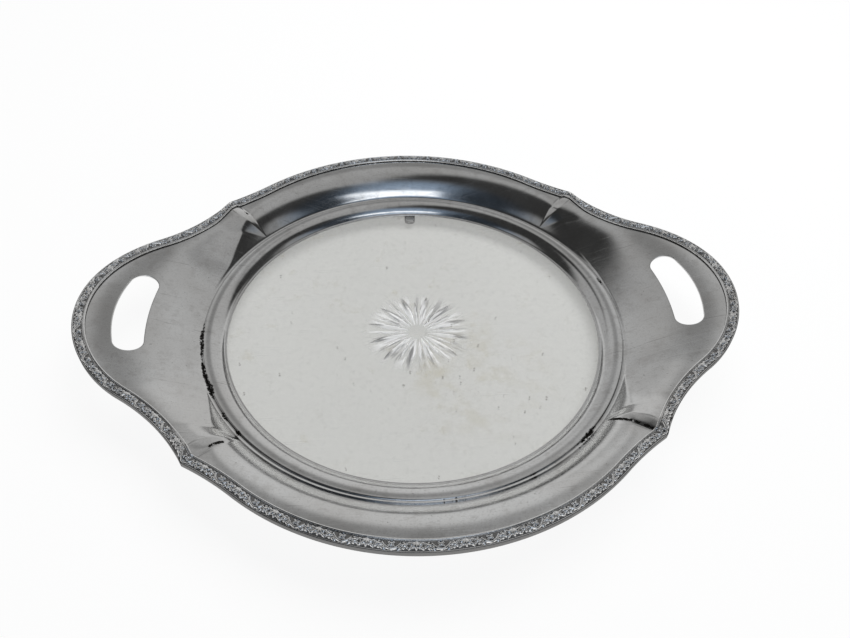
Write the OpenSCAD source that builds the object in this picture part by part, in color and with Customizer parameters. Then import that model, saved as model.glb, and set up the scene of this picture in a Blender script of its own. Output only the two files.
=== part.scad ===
// Two-handled serving tray: a pressed plated sheet round a clear glass with a cut star.
// Origin on the table under the middle of the glass, +X along the handles, +Z up, in millimetres.

/* [Glass] */
// Radius of the glass that shows inside the lip
lip_r = 114; // [100:1:130]
// Thickness of the glass
glass_t = 3; // [2:0.5:5]
// Running gap round the edge of the glass
glass_gap = 0.3; // [0.2:0.1:0.6]

/* [Star cut] */
// Number of wide rays in the star
star_rays = 12; // [8:1:16]
// Offset of the star's middle to the right of the middle of the glass
star_x = 2.1; // [0:0.1:6]
// Offset of the star's middle to the front of the middle of the glass
star_y = 4.4; // [0:0.1:6]
// Reach of the wide rays from the middle
star_r = 32; // [24:1:44]
// Radius of the clear hub
hub_r = 5; // [4:0.5:9]
// Width of a wide ray at its middle
ray_w = 5; // [2:0.2:6]
// Depth of a wide ray
ray_depth = 1.2; // [0.4:0.1:1.6]
// Reach of the fine rays from the middle
fine_r = 27; // [16:1:40]
// Width of a fine ray at its middle
fine_w = 2.2; // [0.6:0.2:3]
// Depth of a fine ray
fine_depth = 0.7; // [0.2:0.1:1]

/* [Base ring] */
// Height of the underside of the glass above the table
foot_h = 6; // [4:0.5:12]
// Wall thickness of the base ring
base_t = 1.6; // [1.2:0.1:2.4]
// Width of the ledge that carries the glass
ledge_w = 4; // [2.5:0.5:6]
// How far the foot is turned out past the wall
foot_w = 4; // [2:0.5:7]

/* [Glass tab] */
// Width of the round-ended tab under the glass
tab_w = 7.5; // [5:0.5:10]
// Reach of the tab past the lip
tab_reach = 5; // [3:0.5:8]
// Thickness of the tab
tab_t = 0.8; // [0.6:0.1:1.2]
// Turn of the tab from the middle of the back towards the right
tab_turn = 2.7; // [0:0.1:6]

/* [Bezel ring] */
// Thickness of the lip over the glass
lip_t = 1; // [0.8:0.1:1.6]
// Flat width of the lip before the cove begins
lip_flat = 0.6; // [0.6:0.1:3]
// Width of the ring from the lip to the seam with the sheet
collar_w = 13.6; // [12:0.1:17]
// Height of the seam above the lip
collar_rise = 5; // [3:0.5:8]
// Half the width of the rounded bead beside the seam
bead_r = 1.2; // [1:0.1:2.4]
// Height of the bead's crest above the seam
bead_h = 0.6; // [0.4:0.1:1.6]
// Share of the collar's curve that is hollow, from the lip outwards
cove_share = 0.1; // [0.05:0.05:0.6]
// Wall thickness of the skirt round the glass
skirt_t = 1.2; // [0.8:0.1:1.8]
// Distance from the inner side of the bead to the outer side of the skirt
skirt_set = 1; // [0.6:0.1:1.4]

/* [Sheet] */
// Thickness of the sheet
sheet_t = 1.2; // [0.8:0.1:1.8]
// Width of the front and back panels from the seam to the rim
panel_w = 34.9; // [28:0.1:44]
// Height of the rim above the seam along the panels
rim_rise = 14.7; // [10:0.1:20]
// Slope at the foot of the inner wall along the panels
wall_deg = 51; // [46:1:60]
// Distance over which the wall curves over from its foot to the level rim
wall_run = 35.5; // [22:0.5:44]
// Distance from the seam to the foot of the wall
wall_inset = 1.3; // [0.4:0.1:2]
// Softness of the bend at the foot of the wall
fillet_len = 1; // [0.5:0.1:2]
// Softness of the bend where the wall meets the slope of the rim
crown_len = 1; // [0.6:0.1:4]
// Height above the seam of the panels' rim slope, carried in to the seam
band_rise = 20; // [16:0.5:24]

/* [Outline] */
// Distance from the middle to the centre of the panel arcs
panel_centre = 17.5; // [8:0.5:26]
// Turn of the panel arc before it bends back
panel_turn = 41.4; // [38:0.1:44]
// Radius of the bend back before a corner point
ogee_r = 172; // [140:1:220]
// Heading of the rim where it reaches a corner point
cusp_in = 31; // [28:0.1:35]
// Heading of the rim where it leaves a corner point
cusp_out = 61.7; // [57:0.1:66]
// Radius of the hollow neck of an ear
neck_r = 118; // [105:1:130]
// Heading of the rim where the neck turns into the end of an ear
ear_turn = 33.5; // [30:0.1:37]

/* [Ears] */
// Height of an ear's tip above the rim of the panels
ear_lift = 8; // [4:0.5:12]
// How late along an ear the lift comes
lift_power = 2.2; // [1.5:0.1:3]
// Height of the ear's slope above the seam, carried in to the seam
ear_rise = 0.4; // [0.2:0.1:2]
// Share of its rise by which an ear bows up on its way to the tip
ear_bow = 0.4; // [0:0.05:0.6]
// Angle from the handle axis over which an ear keeps its plain slope
ear_plain_deg = 24; // [5:1:30]
// Angle from the handle axis past which the wall has its full height
ear_wall_deg = 65; // [40:1:88]
// Distance from the tip of an ear to the middle of its hand slot
slot_inset = 29.2; // [26:0.1:36]
// Length of a hand slot
slot_len = 63; // [50:0.5:70]
// Width of a hand slot at its middle
slot_w = 17.4; // [15:0.2:24]
// Width of a hand slot at its round ends
slot_end_w = 15.6; // [12:0.2:20]

/* [Ribs] */
// Distance from the seam to the nose of a rib
rib_inset = 1.8; // [1.5:0.1:6]
// Greatest width of a rib
rib_w = 24; // [14:0.5:28]
// Greatest height of a rib above the sheet
rib_h = 2.8; // [1.5:0.1:4]
// Bluntness of the ends of a rib
rib_taper = 0.6; // [0.5:0.05:1]
// How far the broadest place of a rib lies towards the border
rib_lean = 1.6; // [1:0.1:3]
// How much broader a rib's flank is on the ear's side
rib_skew = 0.35; // [0:0.05:0.6]
// Distance of a rib's crest from the line of its corner point, towards the ear
rib_shift = 6.2; // [4:0.1:9]
// Share of the flank on the panel's side that falls gently
rib_fold = 0.8; // [0.6:0.05:0.9]
// Share of a rib's height that is lost over the gentle fall
rib_drop = 0.64; // [0.4:0.02:0.7]

/* [Border] */
// Width of the border strip
border_w = 6.8; // [5:0.1:9]
// Height of the border strip above the sheet
border_h = 2; // [1.4:0.1:3]
// Thickness of the strip's apron outside the edge of the sheet
apron_t = 1; // [0.8:0.1:1.4]
// How far the apron hangs below the top of the sheet
apron_drop = 2; // [1.4:0.1:3]
// Height of the strip's outer shoulder above the sheet
shoulder_h = 0.9; // [0.6:0.1:1.3]
// Distance from the outline to the strip's crest
crest_inset = 1.5; // [1.2:0.1:2]
// Width of the strip's crest
crest_w = 2.7; // [1.6:0.1:3]
// Width of the thin bead along the inner edge of the strip
edge_bead_w = 1.2; // [0.8:0.1:1.4]
// Height of the thin bead above the sheet
edge_bead_h = 1.5; // [1.1:0.1:1.8]
// Height of the hollow beside the thin bead
hollow_h = 0.9; // [0.6:0.1:1]
// Gap between the strip and the sheet, and at each mitre
solder_gap = 0.25; // [0.2:0.05:0.4]

/* [Hidden] */
$fn = 128;

// Steps of the curved grids
arc_steps = 14;
ear_steps = 10;
rib_steps = 18;
panel_steps = 9;
radial_rows = 12;
slot_steps = 5;
slot_fn = 40;
rib_zone_deg = 8.5;
neck_steps = 7;
ogee_steps = 4;
edge_steps = 6;
cut_over = 0.05;

// Levels above the table
glass_top = foot_h + glass_t;
lip_z = glass_top + lip_t;
seat_z = lip_z + collar_rise;
rim_z = seat_z + rim_rise;

// Radii of the rings
seam_r = lip_r + collar_w;
bead_in_r = seam_r - 2 * bead_r;
skirt_out_r = bead_in_r + skirt_set;
skirt_in_r = skirt_out_r - skirt_t;
glass_r = skirt_in_r - glass_gap;
sheet_in_r = skirt_out_r + glass_gap;
wall_in_r = sheet_in_r + glass_gap;
wall_out_r = wall_in_r + base_t;
ledge_in_r = glass_r - ledge_w;

// Collar of the bezel: a hollow arc that leaves the lip level, then a round arc up to the bead's crest
cove_in_r = lip_r + lip_flat;
crest_r = seam_r - bead_r;
crest_rise = collar_rise + bead_h;
collar_turn = 2 * atan(crest_rise / (crest_r - cove_in_r));
collar_r = (crest_r - cove_in_r) / sin(collar_turn);
cove_r = cove_share * collar_r;
crown_r = collar_r - cove_r;

// Rim outline of one quarter: panel arc, bend back, corner point, neck, ear end.
// A heading is the clockwise turn of the rim from +X.
function side(heading) = [sin(heading), cos(heading)];
function along(heading) = [cos(heading), -sin(heading)];
half_depth = seam_r + panel_w;
panel_c = [0, panel_centre];
panel_r = half_depth - panel_centre;
panel_end = panel_c + panel_r * side(panel_turn);
ogee_c = panel_end + ogee_r * side(panel_turn);
cusp = ogee_c - ogee_r * side(cusp_in);
neck_c = cusp + neck_r * side(cusp_out);
neck_end = neck_c - neck_r * side(ear_turn);
ear_r = neck_end[1] / cos(ear_turn);
ear_c = neck_end - ear_r * side(ear_turn);
tip_x = ear_c[0] + ear_r;
cusp_a = atan2(cusp[1], cusp[0]);

// Points of the outline at a heading, moved in by d
function panel_pt(h, d) = panel_c + (panel_r - d) * side(h);
function ogee_pt(h, d) = ogee_c - (ogee_r + d) * side(h);
function neck_pt(h, d) = neck_c - (neck_r + d) * side(h);
function ear_pt(h, d) = ear_c + (ear_r - d) * side(h);
mitre_in = (cusp_in + cusp_out) / 2;
mitre_half = (cusp_out - cusp_in) / 2;
function mitre_pt(d) = cusp - d / cos(mitre_half) * side(mitre_in);

// Distance from the middle to the outline moved in by d, at an angle from +X within the first quarter
function ray(a) = [cos(a), sin(a)];
function angle_of(p) = atan2(p[1], p[0]);
function far_hit(c, r, a) = let(p = c * ray(a)) p + sqrt(max(0, r * r - c * c + p * p));
function near_hit(c, r, a) = let(p = c * ray(a)) p - sqrt(max(0, r * r - c * c + p * p));
function edge_r(a, d) =
    a < angle_of(ear_pt(ear_turn, d)) ? far_hit(ear_c, ear_r - d, a)
    : a > angle_of(panel_pt(panel_turn, d)) ? far_hit(panel_c, panel_r - d, a)
    : min(near_hit(neck_c, neck_r + d, a), near_hit(ogee_c, ogee_r + d, a));
function fold(a) = let(m = (a % 180 + 180) % 180) m > 90 ? 180 - m : m;

// Height of the sheet's upper face, at radius r and angle a within the first quarter
function soft_max(p, q, k) = (p + q + sqrt((p - q) * (p - q) + k * k)) / 2;
function soft_min(p, q, k) = (p + q - sqrt((p - q) * (p - q) + k * k)) / 2;
function clamp(x) = max(0, min(1, x));
function ease(x) = let(t = clamp(x)) t * t * (3 - 2 * t);
function ear_share(a) = clamp((edge_r(a, 0) * cos(a) - cusp[0]) / (tip_x - cusp[0]));
function rim_at(a) = rim_z + (a < cusp_a ? ear_lift * pow(ear_share(a), lift_power) : 0);
function wall_share(a) = ease((a - ear_plain_deg) / (ear_wall_deg - ear_plain_deg));
function band_at(a) = ear_rise + (band_rise - ear_rise) * wall_share(a);
wall_power = tan(wall_deg) * wall_run / rim_rise;
function wall_left(r) = max(0, 1 - soft_max(r - seam_r - wall_inset, 0, fillet_len) / wall_run);
function wall_rise(r, a) = (rim_at(a) - seat_z) * (1 - pow(wall_left(r), wall_power));
function band_share(r, a) =
    let(s = (r - seam_r) / (edge_r(a, 0) - seam_r)) s + ear_bow * (1 - wall_share(a)) * (s - s * s * s);
function band_line(r, a) = band_at(a) + (rim_at(a) - seat_z - band_at(a)) * band_share(r, a);
function rise(r, a) = soft_min(wall_rise(r, a), band_line(r, a), crown_len * band_at(a) / band_rise);
function rise_share(r, a) =
    let(low = rise(seam_r, a)) (rise(r, a) - low) / (rise(edge_r(a, 0), a) - low);
rib_in_r = seam_r + rib_inset;
rib_out_r = edge_r(cusp_a, border_w);
function rib_leaf(r) =
    let(s = (r - rib_in_r) / (rib_out_r - rib_in_r))
    s <= 0 || s >= 1 ? 0 : pow(sin(180 * pow(s, rib_lean)), rib_taper);
rib_ear_w = rib_w / 2 * (1 + rib_skew);
rib_panel_w = rib_w / 2 * (1 - rib_skew);
function rib_across(t) =
    max(0, min(1 + t / rib_ear_w, 1 - rib_drop * t / (rib_fold * rib_panel_w),
               (1 - t / rib_panel_w) * (1 - rib_drop) / (1 - rib_fold)));
function rib_at(r, a) =
    let(leaf = rib_leaf(r))
    leaf == 0 ? 0 : rib_h * leaf * rib_across(r * sin(a - cusp_a) / leaf + rib_shift);
function sheet_z(r, a) =
    r <= seam_r ? seat_z : seat_z + (rim_at(a) - seat_z) * rise_share(r, a) + rib_at(r, a);

// Angles of the sheet's grid: closer together across the ribs
rib_lo = cusp_a - rib_zone_deg;
rib_hi = cusp_a + rib_zone_deg;
quarter = concat(
    [for (i = [0 : ear_steps - 1]) rib_lo * i / ear_steps],
    [for (i = [0 : rib_steps - 1]) rib_lo + (rib_hi - rib_lo) * i / rib_steps],
    [for (i = [0 : panel_steps - 1]) rib_hi + (90 - rib_hi) * i / panel_steps]
);
half_ring = concat(quarter, [90], [for (i = [len(quarter) - 1 : -1 : 1]) 180 - quarter[i]]);
full_ring = concat(half_ring, [for (a = half_ring) a + 180]);

// Radii of the sheet's grid at an angle: inner edge, seam, then even rows out to the edge
sheet_edge = apron_t + solder_gap;
function grid_r(j, a) =
    j == 0 ? sheet_in_r
    : seam_r + (edge_r(a, sheet_edge) - seam_r) * (j - 1) / (radial_rows - 1);

// A closed skin over a grid of points: rows round a ring, columns round a section
function skin_faces(rows, cols, closed) = [
    for (i = [0 : rows - (closed ? 1 : 2)], k = [0 : cols - 1])
        let(a = i * cols + k, b = i * cols + (k + 1) % cols, n = (i + 1) % rows)
        each [[a, n * cols + k, b], [b, n * cols + k, n * cols + (k + 1) % cols]]
];

// Section of the sheet at one angle: out along the top, back along the underside
function sheet_section(a) =
    let(q = fold(a), d = ray(a))
    let(top = [for (j = [0 : radial_rows]) let(r = grid_r(j, q)) [r * d[0], r * d[1], sheet_z(r, q)]])
    concat(top, [for (j = [radial_rows : -1 : 0]) top[j] - [0, 0, sheet_t]]);

slot_r = tip_x - slot_inset;
slot_half_a = asin((slot_len - slot_end_w) / 2 / slot_r);
function slot_d(t) = slot_w - (slot_w - slot_end_w) * t * t;

// Hand slot: a kidney bent round the middle of the tray, narrower at its round ends
module slot_cut() {
    for (i = [0 : slot_steps - 1])
        hull()
            for (k = [i, i + 1])
                let(t = 2 * k / slot_steps - 1, d = slot_d(t))
                    rotate([0, 0, slot_half_a * t])
                        translate([slot_r + (d - slot_w) / 2, 0, seat_z])
                            cylinder(d = d, h = rim_rise + ear_lift, $fn = slot_fn);
}

module tray_body() {
    sections = [for (a = full_ring) each sheet_section(a)];
    color("silver")
        difference() {
            polyhedron(sections, skin_faces(len(full_ring), 2 * (radial_rows + 1), true), convexity = 6);
            for (turn = [0, 180])
                rotate([0, 0, turn])
                    slot_cut();
        }
}

// Hollow arc and round arc of the collar, moved down by d
cove_arc_z = lip_z + cove_r;
crown_arc_z = lip_z + crest_rise - crown_r;
function cove_arc(d) = [
    for (i = [0 : arc_steps])
        let(t = collar_turn * i / arc_steps)
        [cove_in_r + (cove_r + d) * sin(t), cove_arc_z - (cove_r + d) * cos(t)]
];
function crown_arc(d, end) = [
    for (i = [1 : arc_steps])
        let(t = collar_turn + (end - collar_turn) * i / arc_steps)
        [crest_r - (crown_r - d) * sin(t), crown_arc_z + (crown_r - d) * cos(t)]
];
function turned_back(points) = [for (i = [len(points) - 1 : -1 : 0]) points[i]];

module bezel_ring() {
    skirt_turn = asin((crest_r - skirt_in_r) / (crown_r - lip_t));
    bead = [
        for (i = [1 : arc_steps])
            let(t = 90 * i / arc_steps)
            [crest_r + bead_r * sin(t), seat_z + bead_h * cos(t)]
    ];
    lip_edge = [
        for (i = [0 : edge_steps])
            [lip_r + lip_t / 2, lip_z - lip_t / 2] + lip_t / 2 * ray(270 - 180 * i / edge_steps)
    ];
    color("lightgray")
        rotate_extrude()
            polygon(concat(
                lip_edge, cove_arc(0), crown_arc(0, 0), bead,
                [[skirt_out_r, seat_z], [skirt_out_r, foot_h], [skirt_in_r, foot_h]],
                turned_back(crown_arc(lip_t, skirt_turn)), turned_back(cove_arc(lip_t))
            ));
}

// One mitre cut on the underside of the glass: a pyramid on a long diamond, pointing up
module ray_cut(reach, width, depth) {
    grow = (depth + cut_over) / depth;
    middle = (hub_r + reach) / 2;
    half_l = (reach - hub_r) / 2 * grow;
    half_w = width / 2 * grow;
    polyhedron(
        [
            [middle - half_l, 0, -cut_over], [middle, half_w, -cut_over], [middle + half_l, 0, -cut_over],
            [middle, -half_w, -cut_over], [middle, 0, depth]
        ],
        [[0, 3, 2], [0, 2, 1], [0, 1, 4], [1, 2, 4], [2, 3, 4], [3, 0, 4]]
    );
}

module glass_disc() {
    step = 360 / star_rays;
    color("lightcyan")
        translate([0, 0, foot_h])
            difference() {
                cylinder(r = glass_r, h = glass_t);
                translate([star_x, -star_y, 0])
                    for (i = [0 : star_rays - 1]) {
                        rotate([0, 0, step * (i + 1 / 2)])
                            ray_cut(star_r, ray_w, ray_depth);
                        rotate([0, 0, step * i])
                            ray_cut(fine_r, fine_w, fine_depth);
                    }
            }
}

module base_ring() {
    color("darkgray")
        rotate_extrude()
            polygon([
                [wall_in_r, 0], [wall_out_r + foot_w, 0], [wall_out_r + foot_w, base_t], [wall_out_r, base_t],
                [wall_out_r, seat_z - sheet_t], [wall_in_r, seat_z - sheet_t], [wall_in_r, foot_h],
                [ledge_in_r, foot_h], [ledge_in_r, foot_h - base_t], [wall_in_r, foot_h - base_t]
            ]);
}

module glass_tab() {
    end_y = lip_r - tab_reach + tab_w / 2;
    color("gray")
        rotate([0, 0, -tab_turn])
            translate([0, end_y, foot_h - base_t - tab_t]) {
                cylinder(d = tab_w, h = tab_t);
                translate([-tab_w / 2, 0, 0])
                    cube([tab_w, wall_in_r - glass_gap - end_y, tab_t]);
            }
}

// Section of the border strip: distance in from the outline and height above the sheet
border_section = [
    [0, -apron_drop], [0, shoulder_h], [crest_inset, border_h], [crest_inset + crest_w, border_h],
    [border_w - edge_bead_w, hollow_h], [border_w - edge_bead_w / 2, edge_bead_h],
    [border_w, hollow_h], [border_w, solder_gap], [apron_t, solder_gap], [apron_t, -apron_drop]
];
border_cap = [[0, 1, 8], [0, 8, 9], [8, 1, 2], [8, 2, 3], [8, 3, 4], [8, 4, 7], [4, 5, 6], [4, 6, 7]];

// Rim points moved in by d, from corner point to corner point along the back panel and round the right ear
function panel_half(d) = concat(
    [for (i = [0 : arc_steps]) panel_pt(panel_turn * i / arc_steps, d)],
    [for (i = [1 : ogee_steps - 1]) ogee_pt(panel_turn + (cusp_in - panel_turn) * i / ogee_steps, d)],
    [mitre_pt(d) - solder_gap / 2 * along(cusp_in)]
);
function ear_half(d) = concat(
    [for (i = [0 : arc_steps]) ear_pt(90 + (ear_turn - 90) * i / arc_steps, d)],
    [for (i = [1 : neck_steps - 1]) neck_pt(ear_turn + (cusp_out - ear_turn) * i / neck_steps, d)],
    [mitre_pt(d) + solder_gap / 2 * along(cusp_out)]
);
function panel_run(d) =
    let(h = panel_half(d)) concat([for (i = [len(h) - 1 : -1 : 1]) [-h[i][0], h[i][1]]], h);
function ear_run(d) =
    let(h = ear_half(d), last = len(h) - 1)
    concat([for (i = [last : -1 : 0]) h[i]], [for (i = [1 : last]) [h[i][0], -h[i][1]]]);

// A border strip swept through its runs, one run for each point of the section
module border_strip(runs) {
    cols = len(border_section);
    rows = len(runs[0]);
    points = [
        for (i = [0 : rows - 1], k = [0 : cols - 1])
            let(p = runs[k][i])
            [p[0], p[1], sheet_z(norm(p), fold(angle_of(p))) + border_section[k][1]]
    ];
    end_cap = [for (t = border_cap) [for (k = [2 : -1 : 0]) t[k] + (rows - 1) * cols]];
    color("gainsboro")
        polyhedron(points, concat(skin_faces(rows, cols, false), border_cap, end_cap), convexity = 6);
}

module border_back() {
    border_strip([for (s = border_section) panel_run(s[0])]);
}

module border_front() {
    mirror([0, 1, 0])
        border_back();
}

module border_right() {
    border_strip([for (s = border_section) ear_run(s[0])]);
}

module border_left() {
    mirror([1, 0, 0])
        border_right();
}

tray_body();
bezel_ring();
glass_disc();
base_ring();
glass_tab();
border_back();
border_front();
border_left();
border_right();
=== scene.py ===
import bpy
import numpy as np
from mathutils import Matrix, Vector, geometry


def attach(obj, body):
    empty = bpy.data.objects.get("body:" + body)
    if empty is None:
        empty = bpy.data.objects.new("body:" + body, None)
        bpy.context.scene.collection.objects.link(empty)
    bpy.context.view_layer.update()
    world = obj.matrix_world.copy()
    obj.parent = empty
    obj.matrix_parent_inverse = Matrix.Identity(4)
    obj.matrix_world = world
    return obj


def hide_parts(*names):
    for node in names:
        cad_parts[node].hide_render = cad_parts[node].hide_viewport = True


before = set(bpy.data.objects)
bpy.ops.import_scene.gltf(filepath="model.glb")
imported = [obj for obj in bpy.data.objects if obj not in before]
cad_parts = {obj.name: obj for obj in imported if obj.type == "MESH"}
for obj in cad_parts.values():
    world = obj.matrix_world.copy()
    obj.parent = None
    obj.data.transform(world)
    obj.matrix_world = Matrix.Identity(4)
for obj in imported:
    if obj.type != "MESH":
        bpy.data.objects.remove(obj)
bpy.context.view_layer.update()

MM = 0.001

# Sizes of the part, in millimetres and degrees
lip_r, glass_t, glass_gap = 114.0, 3.0, 0.3
star_rays, star_r, hub_r, star_x, star_y = 12, 32.0, 5.0, 2.1, 4.4
ray_w, ray_depth = 5.0, 1.2
fine_r, fine_w, fine_depth = 27.0, 2.2, 0.7
foot_h, base_t, ledge_w, foot_w = 6.0, 1.6, 4.0, 4.0
tab_w, tab_reach, tab_t, tab_turn = 7.5, 5.0, 0.8, 2.7
lip_t, lip_flat, collar_w, collar_rise = 1.0, 0.6, 13.6, 5.0
bead_r, bead_h, cove_share, skirt_t, skirt_set = 1.2, 0.6, 0.1, 1.2, 1.0
sheet_t, panel_w, rim_rise = 1.2, 34.9, 14.7
wall_deg, wall_run, wall_inset, fillet_len, crown_len, band_rise = 51.0, 35.5, 1.3, 1.0, 1.0, 20.0
panel_centre, panel_turn, ogee_r = 17.5, 41.4, 172.0
cusp_in, cusp_out, neck_r, ear_turn = 31.0, 61.7, 118.0, 33.5
ear_lift, lift_power, ear_rise, ear_bow, ear_plain_deg, ear_wall_deg = 8.0, 2.2, 0.4, 0.4, 24.0, 65.0
slot_inset, slot_len, slot_w, slot_end_w = 29.2, 63.0, 17.4, 15.6
rib_inset, rib_w, rib_h, rib_taper, rib_lean = 1.8, 24.0, 2.8, 0.6, 1.6
rib_skew, rib_shift, rib_fold, rib_drop = 0.35, 6.2, 0.8, 0.64
border_w, border_h, apron_t, apron_drop = 6.8, 2.0, 1.0, 2.0
shoulder_h, edge_bead_w, edge_bead_h, hollow_h = 0.9, 1.2, 1.5, 0.9
solder_gap = 0.25

# Derived levels and radii
glass_top = foot_h + glass_t
lip_z = glass_top + lip_t
seat_z = lip_z + collar_rise
rim_z = seat_z + rim_rise
seam_r = lip_r + collar_w
bead_in_r = seam_r - 2 * bead_r
skirt_out_r = bead_in_r + skirt_set
skirt_in_r = skirt_out_r - skirt_t
glass_r = skirt_in_r - glass_gap
sheet_in_r = skirt_out_r + glass_gap
wall_in_r = sheet_in_r + glass_gap
wall_out_r = wall_in_r + base_t
ledge_in_r = glass_r - ledge_w
sheet_edge = apron_t + solder_gap


# Trigonometry in degrees
def sin(a):
    return np.sin(np.radians(a))


def cos(a):
    return np.cos(np.radians(a))


def side(h):
    return np.stack([sin(h), cos(h)], -1)


def along(h):
    return np.stack([cos(h), -sin(h)], -1)


def angle_of(p):
    return np.degrees(np.arctan2(p[..., 1], p[..., 0]))


# Rim outline of one quarter: panel arc, bend back, corner point, neck, ear end
half_depth = seam_r + panel_w
panel_c = np.array([0.0, panel_centre])
panel_r = half_depth - panel_centre
panel_end = panel_c + panel_r * side(panel_turn)
ogee_c = panel_end + ogee_r * side(panel_turn)
cusp = ogee_c - ogee_r * side(cusp_in)
neck_c = cusp + neck_r * side(cusp_out)
neck_end = neck_c - neck_r * side(ear_turn)
ear_r = neck_end[1] / cos(ear_turn)
ear_c = neck_end - ear_r * side(ear_turn)
tip_x = ear_c[0] + ear_r
cusp_a = float(angle_of(cusp))
mitre_in = (cusp_in + cusp_out) / 2
slot_r = tip_x - slot_inset


def circle_hit(c, r, a, way):
    p = c[0] * cos(a) + c[1] * sin(a)
    return p + way * np.sqrt(np.maximum(0, r * r - c @ c + p * p))


def edge_r(a, d):
    ear_a = angle_of(ear_c + (ear_r - d) * side(ear_turn))
    panel_a = angle_of(panel_c + (panel_r - d) * side(panel_turn))
    hollow = np.minimum(circle_hit(neck_c, neck_r + d, a, -1), circle_hit(ogee_c, ogee_r + d, a, -1))
    flank = np.where(a > panel_a, circle_hit(panel_c, panel_r - d, a, 1), hollow)
    return np.where(a < ear_a, circle_hit(ear_c, ear_r - d, a, 1), flank)


def fold(a):
    m = np.mod(a, 180)
    return np.where(m > 90, 180 - m, m)


# Height of the sheet's upper face
def soft(p, q, k, way):
    return (p + q + way * np.sqrt((p - q) ** 2 + k * k)) / 2


def ease(x):
    t = np.clip(x, 0, 1)
    return t * t * (3 - 2 * t)


def rim_at(a, edge):
    share = np.clip((edge * cos(a) - cusp[0]) / (tip_x - cusp[0]), 0, 1)
    return rim_z + np.where(a < cusp_a, ear_lift * share ** lift_power, 0)


def rise(r, a, edge):
    wall_power = np.tan(np.radians(wall_deg)) * wall_run / rim_rise
    left = np.clip(1 - soft(r - seam_r - wall_inset, 0, fillet_len, 1) / wall_run, 0, None)
    wall = (rim_at(a, edge) - seat_z) * (1 - left ** wall_power)
    full = ease((a - ear_plain_deg) / (ear_wall_deg - ear_plain_deg))
    band = ear_rise + (band_rise - ear_rise) * full
    s = (r - seam_r) / (edge - seam_r)
    line = band + (rim_at(a, edge) - seat_z - band) * (s + ear_bow * (1 - full) * (s - s ** 3))
    return soft(wall, line, crown_len * band / band_rise, -1)


rib_in_r = seam_r + rib_inset
rib_out_r = float(edge_r(np.array(cusp_a), 0.0))
CREST_SOFT, RIB_REACH, TINY = 0.12, 3, 1e-6


def rib_at(r, a):
    s = np.clip((r - rib_in_r) / (rib_out_r - rib_in_r), 0, 1)
    leaf = np.maximum(np.sin(np.pi * s ** rib_lean), TINY) ** rib_taper
    t = r * sin(a - cusp_a) / leaf + rib_shift
    ear_w, flank_w = rib_w / 2 * (1 + rib_skew), rib_w / 2 * (1 - rib_skew)
    fall = 1 - rib_drop * t / (rib_fold * flank_w)
    edge = (1 - t / flank_w) * (1 - rib_drop) / (1 - rib_fold)
    height = soft(soft(1 + t / ear_w, fall, CREST_SOFT, -1), edge, CREST_SOFT, -1)
    return rib_h * leaf * np.where(np.abs(t) < RIB_REACH * rib_w, soft(height, 0, CREST_SOFT, 1), 0)


def sheet_z(x, y):
    r = np.hypot(x, y)
    a = fold(np.degrees(np.arctan2(y, x)))
    edge = edge_r(a, 0.0)
    low = rise(seam_r, a, edge)
    share = (rise(r, a, edge) - low) / (rise(edge, a, edge) - low)
    z = seat_z + (rim_at(a, edge) - seat_z) * share + rib_at(r, a)
    return np.where(r <= seam_r, seat_z, z)


# Mesh helpers
CORNER_SHARE = 1 / 2.2


def volume_of(verts, faces):
    tris = np.array([(f[0], f[k], f[k + 1]) for f in faces for k in range(1, len(f) - 1)])
    return np.einsum("ij,ij->", verts[tris[:, 0]], np.cross(verts[tris[:, 1]], verts[tris[:, 2]]))


def mesh_object(name, verts, faces, sharp_deg=None):
    verts = np.asarray(verts, float)
    if volume_of(verts, faces) < 0:
        faces = [f[::-1] for f in faces]
    mesh = bpy.data.meshes.new(name)
    mesh.from_pydata((verts * MM).tolist(), [], [list(map(int, f)) for f in faces])
    mesh.validate()
    mesh.polygons.foreach_set("use_smooth", np.ones(len(mesh.polygons), bool))
    if sharp_deg is not None:
        mesh.set_sharp_from_angle(angle=np.radians(sharp_deg))
    mesh.update()
    obj = bpy.data.objects.new(name, mesh)
    bpy.context.scene.collection.objects.link(obj)
    return obj


def mask(obj, name, values):
    layer = obj.data.attributes.new(name, "FLOAT", "POINT")
    layer.data.foreach_set("value", np.asarray(values, np.float32))


def strip_faces(first, second, closed=True):
    n = len(first)
    last = n if closed else n - 1
    return [(first[i], first[(i + 1) % n], second[(i + 1) % n], second[i]) for i in range(last)]


def grid_faces(index, closed_rows):
    rows = len(index)
    faces = []
    for i in range(rows if closed_rows else rows - 1):
        faces += strip_faces(index[i], index[(i + 1) % rows])
    return faces


def lathe(name, profile, steps, sharp_deg):
    """A closed profile of radius and height turned round the upright axis."""
    profile = np.asarray(profile, float)
    turn = np.arange(steps) * 360 / steps
    x = profile[None, :, 0] * cos(turn)[:, None]
    y = profile[None, :, 0] * sin(turn)[:, None]
    z = np.broadcast_to(profile[None, :, 1], x.shape)
    index = np.arange(x.size).reshape(x.shape)
    return mesh_object(name, np.stack([x, y, z], -1).reshape(-1, 3), grid_faces(index, True), sharp_deg)


def arc(centre, radius, start, end, steps):
    t = np.linspace(start, end, steps + 1)
    return [(centre[0] + radius * cos(a), centre[1] + radius * sin(a)) for a in t]


def rounded(points, radius, steps=3):
    """A closed profile with each corner rounded."""
    p = np.asarray(points, float)
    made = []
    for i in range(len(p)):
        back, ahead = p[i - 1] - p[i], p[(i + 1) % len(p)] - p[i]
        a, b = np.linalg.norm(back), np.linalg.norm(ahead)
        cut = min(radius, a * CORNER_SHARE, b * CORNER_SHARE)
        start, end = p[i] + back / a * cut, p[i] + ahead / b * cut
        for t in np.linspace(0, 1, steps + 1):
            made.append((1 - t) ** 2 * start + 2 * t * (1 - t) * p[i] + t * t * end)
    return made


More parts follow.
